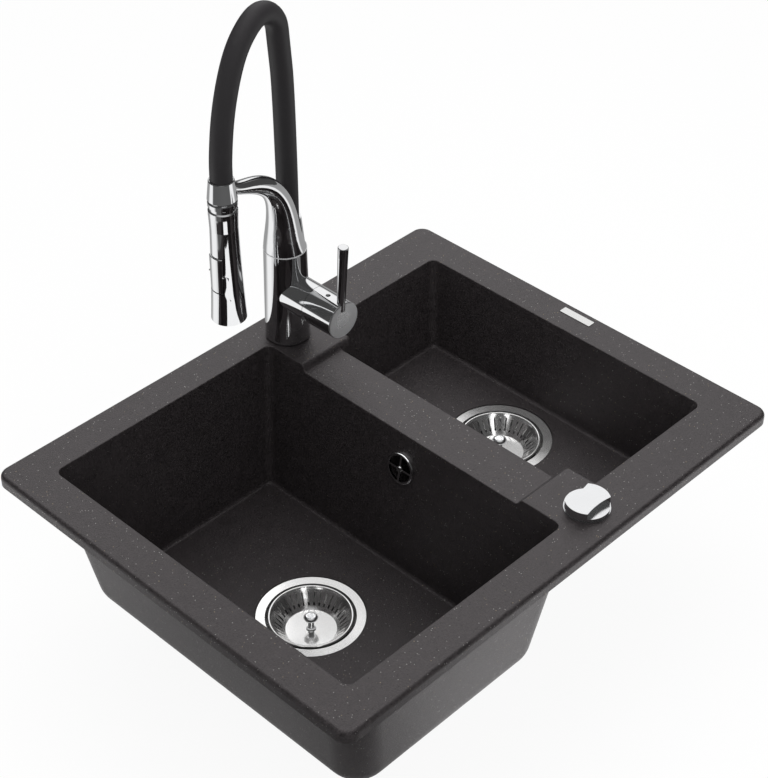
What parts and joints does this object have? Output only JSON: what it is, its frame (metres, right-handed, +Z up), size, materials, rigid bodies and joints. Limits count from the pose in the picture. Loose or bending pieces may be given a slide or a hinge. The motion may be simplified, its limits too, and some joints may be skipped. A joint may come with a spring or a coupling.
{
  "type": "one and a half bowl sink",
  "caption": "Inset granite composite sink with a large and a small bowl, lowered divider, strainer wastes, overflow, pop-up knob and a tap with an arched hose and pull-down spray.",
  "frame": {"origin": "middle of the rim's underside, level with the worktop", "axes": "+X from the large bowl to the small bowl, +Y to the tap side, +Z up"},
  "size_m": [0.6, 0.48, 0.6168],
  "materials": {
    "granite": "fine matt granite composite with pale and golden flecks",
    "chrome": "polished chrome plate",
    "steel": "satin stainless steel",
    "rubber": "black sealing rubber",
    "hose": "matt dark grey silicone",
    "plastic": "black moulded plastic",
    "ceramic": "off-white ceramic cartridge",
    "brass": "machined brass"
  },
  "bodies": {
    "sink": {"sink_basin": "granite", "badge_plate": "steel", "big_waste_flange": "steel", "big_waste_gasket": "rubber", "big_waste_body": "plastic", "big_waste_tail": "plastic", "big_waste_screw": "steel", "small_waste_flange": "steel", "small_waste_gasket": "rubber", "small_waste_body": "plastic", "small_waste_tail": "plastic", "small_waste_screw": "steel", "overflow_rosette": "chrome", "overflow_gasket": "rubber", "overflow_elbow": "plastic", "overflow_screw": "steel", "popup_bezel": "chrome", "popup_housing": "plastic", "popup_nut": "plastic", "tap_gasket": "rubber", "tap_body": "chrome", "tap_shank": "brass", "tap_rubber_washer": "rubber", "tap_steel_washer": "steel", "tap_nut": "brass", "swivel_ring": "chrome", "cartridge": "ceramic", "cartridge_nut": "brass"},
    "spout": {"spout_arm": "chrome", "hose_ferrule": "chrome", "dock_sleeve": "chrome", "spout_hose": "hose"},
    "spray": {"hose_nut": "chrome", "spray_head": "chrome", "spray_face": "plastic", "rocker_pin": "steel"},
    "rocker": {"spray_rocker": "chrome"},
    "lever_rotor": {"cartridge_rotor": "plastic", "stem_pin": "steel"},
    "lever": {"cartridge_stem": "brass", "handle_cap": "chrome", "lever_rod": "chrome", "grub_screw": "steel"},
    "popup_control": {"popup_knob": "chrome", "popup_spindle": "plastic"},
    "big_strainer": {"big_basket": "steel", "big_basket_knob": "chrome", "big_plug_seal": "rubber", "lifter_pin": "steel"},
    "small_strainer": {"small_basket": "steel", "small_basket_knob": "chrome", "small_plug_seal": "rubber"}
  },
  "joints": [
    {"name": "spout_swivel", "type": "hinge", "parent": "sink", "child": "spout", "pos_m": [0.052, 0.2, 0.1225], "axis": [0, 0, 1], "range_deg": [-220, 40]},
    {"name": "spray_pull", "type": "slide", "parent": "spout", "child": "spray", "axis": [0, 0, -1], "range_m": [0, 0.04], "deforming": ["spout_hose"]},
    {"name": "rocker_tilt", "type": "hinge", "parent": "spray", "child": "rocker", "pos_m": [-0.04482, 0.1941, 0.1395], "axis": [0, 1, 0], "range_deg": [-5, 5]},
    {"name": "lever_turn", "type": "hinge", "parent": "sink", "child": "lever_rotor", "pos_m": [0.052, 0.1617, 0.0715], "axis": [0, -1, 0], "range_deg": [-40, 40]},
    {"name": "lever_tilt", "type": "hinge", "parent": "lever_rotor", "child": "lever", "pos_m": [0.052, 0.1617, 0.0715], "axis": [1, 0, 0], "range_deg": [0, 15]},
    {"name": "popup_turn", "type": "hinge", "parent": "sink", "child": "popup_control", "pos_m": [0.06, -0.2, 0.012], "axis": [0, 0, 1], "range_deg": [0, 90]},
    {"name": "big_strainer_lift", "type": "slide", "parent": "sink", "child": "big_strainer", "axis": [0, 0, 1], "range_m": [0, 0.01]},
    {"name": "small_strainer_lift", "type": "slide", "parent": "sink", "child": "small_strainer", "axis": [0, 0, 1], "range_m": [0, 0.04]}
  ],
  "couplings": [
    {"joint": "popup_turn", "follows": "big_strainer_lift", "rad_per_m": 157.08}
  ]
}
